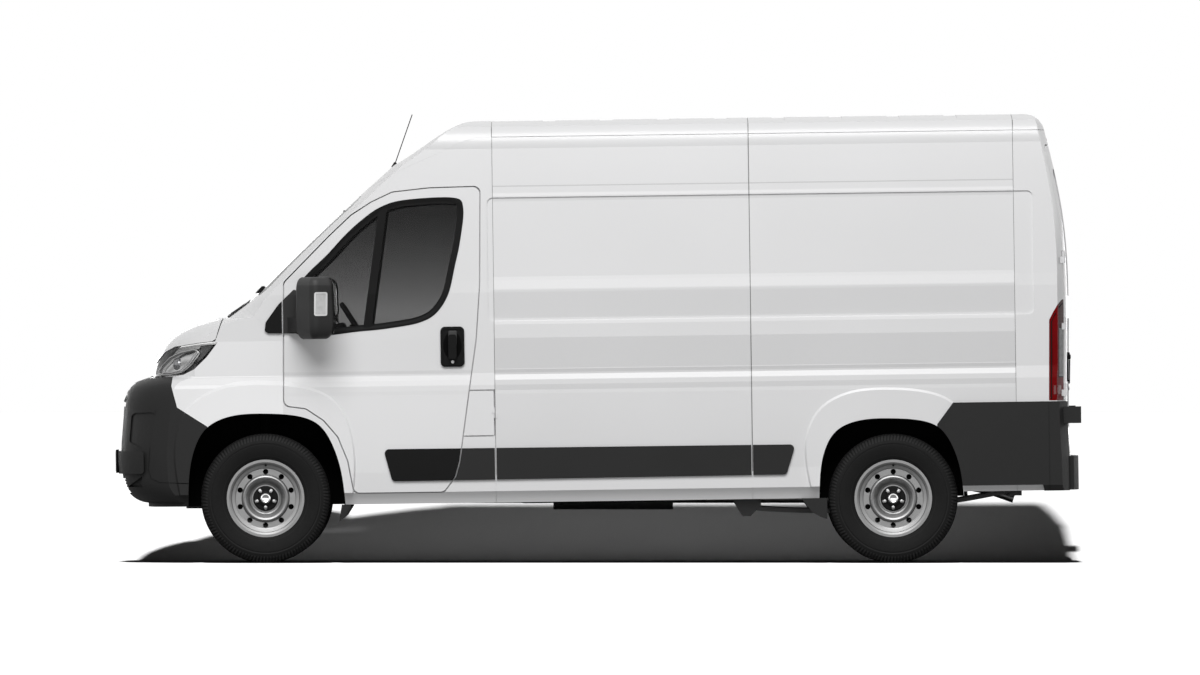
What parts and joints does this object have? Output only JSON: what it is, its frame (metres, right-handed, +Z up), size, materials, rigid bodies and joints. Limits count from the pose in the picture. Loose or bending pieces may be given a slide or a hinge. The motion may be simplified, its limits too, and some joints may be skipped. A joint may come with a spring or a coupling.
{
  "type": "panel van",
  "caption": "High-roof panel van with glazed cab, sliding side door, hinged rear doors, bonnet, steered front wheels and a hollow load space",
  "frame": {"origin": "On the ground plane under the middle of the body, on the centre plane", "axes": "+X towards the tail, +Y towards the right side (sliding door), +Z up; the nose points to -X"},
  "size_m": [5.3805, 2.623, 2.5051],
  "materials": {
    "white_paint": "smooth",
    "grey_steel": "satin",
    "black_plastic": "grained",
    "grey_plastic": "grained",
    "clear_glass": "polished",
    "lamp_glass": "polished",
    "red_lens": "polished",
    "silver_wheel": "satin",
    "tyre_rubber": "matte",
    "bare_steel": "machined",
    "cast_grey": "rough",
    "seat_cloth": "woven"
  },
  "bodies": {
    "body": {"arch_liners": "black_plastic", "bulkhead": "grey_steel", "cab_floor": "grey_plastic", "cab_frame": "white_paint", "chassis": "grey_steel", "dashboard": "grey_plastic", "drive_shafts": "bare_steel", "engine_block": "cast_grey", "exhaust": "bare_steel", "front_bumper": "grey_plastic", "front_trim": "black_plastic", "fuel_tank": "black_plastic", "grille": "black_plastic", "headlamps": "lamp_glass", "leaf_springs": "grey_steel", "load_floor": "grey_steel", "rear_axle": "grey_steel", "rear_bumper": "grey_plastic", "rear_frame": "white_paint", "roof": "white_paint", "seat_backs": "seat_cloth", "seat_bases": "grey_steel", "seat_cushions": "seat_cloth", "side_panel_left": "white_paint", "side_panel_right": "white_paint", "side_trim": "grey_plastic", "sliding_door": "white_paint", "tail_lamps": "red_lens", "windscreen": "clear_glass", "wing_left": "white_paint", "wing_right": "white_paint"},
    "front_door_left": {"front_door_left": "white_paint", "front_glass_left": "clear_glass", "mirror_left": "black_plastic", "door_trim_left": "black_plastic"},
    "rear_door_left": {"rear_door_left": "white_paint"},
    "knuckle_left": {"knuckle_left": "cast_grey"},
    "wheel_front_left": {"tyre_front_left": "tyre_rubber", "rim_front_left": "silver_wheel", "hub_front_left": "black_plastic"},
    "wheel_rear_left": {"tyre_rear_left": "tyre_rubber", "rim_rear_left": "silver_wheel", "hub_rear_left": "black_plastic"},
    "front_door_right": {"front_door_right": "white_paint", "front_glass_right": "clear_glass", "mirror_right": "black_plastic", "door_trim_right": "black_plastic"},
    "rear_door_right": {"rear_door_right": "white_paint"},
    "knuckle_right": {"knuckle_right": "cast_grey"},
    "wheel_front_right": {"tyre_front_right": "tyre_rubber", "rim_front_right": "silver_wheel", "hub_front_right": "black_plastic"},
    "wheel_rear_right": {"tyre_rear_right": "tyre_rubber", "rim_rear_right": "silver_wheel", "hub_rear_right": "black_plastic"},
    "bonnet": {"bonnet": "white_paint"},
    "fuel_flap": {"fuel_flap": "white_paint"},
    "steering_rack": {"steering_rack": "bare_steel"},
    "steering_wheel": {"steering_wheel": "black_plastic"}
  },
  "joints": [
    {"name": "front_door_left_hinge", "type": "hinge", "parent": "body", "child": "front_door_left", "pos_m": [-1.75419, -1.029, 1.23273], "axis": [0.0136, 0, -0.9999], "range_deg": [0, 68]},
    {"name": "rear_door_left_hinge", "type": "hinge", "parent": "body", "child": "rear_door_left", "pos_m": [2.59715, -0.86525, 1.29198], "axis": [0.0136, 0, -0.9999], "range_deg": [0, 92]},
    {"name": "steer_left", "type": "hinge", "parent": "body", "child": "knuckle_left", "pos_m": [-1.85, -0.758, 0.36], "axis": [0, 0, 1], "range_deg": [-33, 33]},
    {"name": "spin_front_left", "type": "hinge", "parent": "knuckle_left", "child": "wheel_front_left", "pos_m": [-1.85, -0.905, 0.36], "axis": [0, 1, 0], "continuous": true},
    {"name": "spin_rear_left", "type": "hinge", "parent": "body", "child": "wheel_rear_left", "pos_m": [1.643, -0.895, 0.36], "axis": [0, 1, 0], "continuous": true},
    {"name": "front_door_right_hinge", "type": "hinge", "parent": "body", "child": "front_door_right", "pos_m": [-1.75419, 1.029, 1.23273], "axis": [-0.0136, 0, 0.9999], "range_deg": [0, 68]},
    {"name": "rear_door_right_hinge", "type": "hinge", "parent": "body", "child": "rear_door_right", "pos_m": [2.59715, 0.86525, 1.29198], "axis": [-0.0136, 0, 0.9999], "range_deg": [0, 92]},
    {"name": "steer_right", "type": "hinge", "parent": "body", "child": "knuckle_right", "pos_m": [-1.85, 0.758, 0.36], "axis": [0, 0, 1], "range_deg": [-33, 33]},
    {"name": "spin_front_right", "type": "hinge", "parent": "knuckle_right", "child": "wheel_front_right", "pos_m": [-1.85, 0.905, 0.36], "axis": [0, 1, 0], "continuous": true},
    {"name": "spin_rear_right", "type": "hinge", "parent": "body", "child": "wheel_rear_right", "pos_m": [1.643, 0.895, 0.36], "axis": [0, 1, 0], "continuous": true},
    {"name": "bonnet_hinge", "type": "hinge", "parent": "body", "child": "bonnet", "pos_m": [-2.08799, 0, 1.3627], "axis": [0, 1, 0], "range_deg": [0, 50]},
    {"name": "fuel_flap_hinge", "type": "hinge", "parent": "body", "child": "fuel_flap", "pos_m": [-0.57619, -1.015, 0.83623], "axis": [-0.0136, 0, 0.9999], "range_deg": [0, 95]},
    {"name": "rack_slide", "type": "slide", "parent": "body", "child": "steering_rack", "axis": [0, 1, 0], "range_m": [-0.08063, 0.08063]},
    {"name": "steering_wheel_turn", "type": "hinge", "parent": "body", "child": "steering_wheel", "pos_m": [-1.32758, -0.43, 1.28205], "axis": [0.8408, 0, 0.5414], "range_deg": [-462, 462]}
  ],
  "couplings": [
    {"joint": "steer_right", "follows": "steer_left", "ratio": 1},
    {"joint": "rack_slide", "follows": "steer_left", "m_per_rad": 0.14},
    {"joint": "steering_wheel_turn", "follows": "steer_left", "ratio": 14}
  ]
}
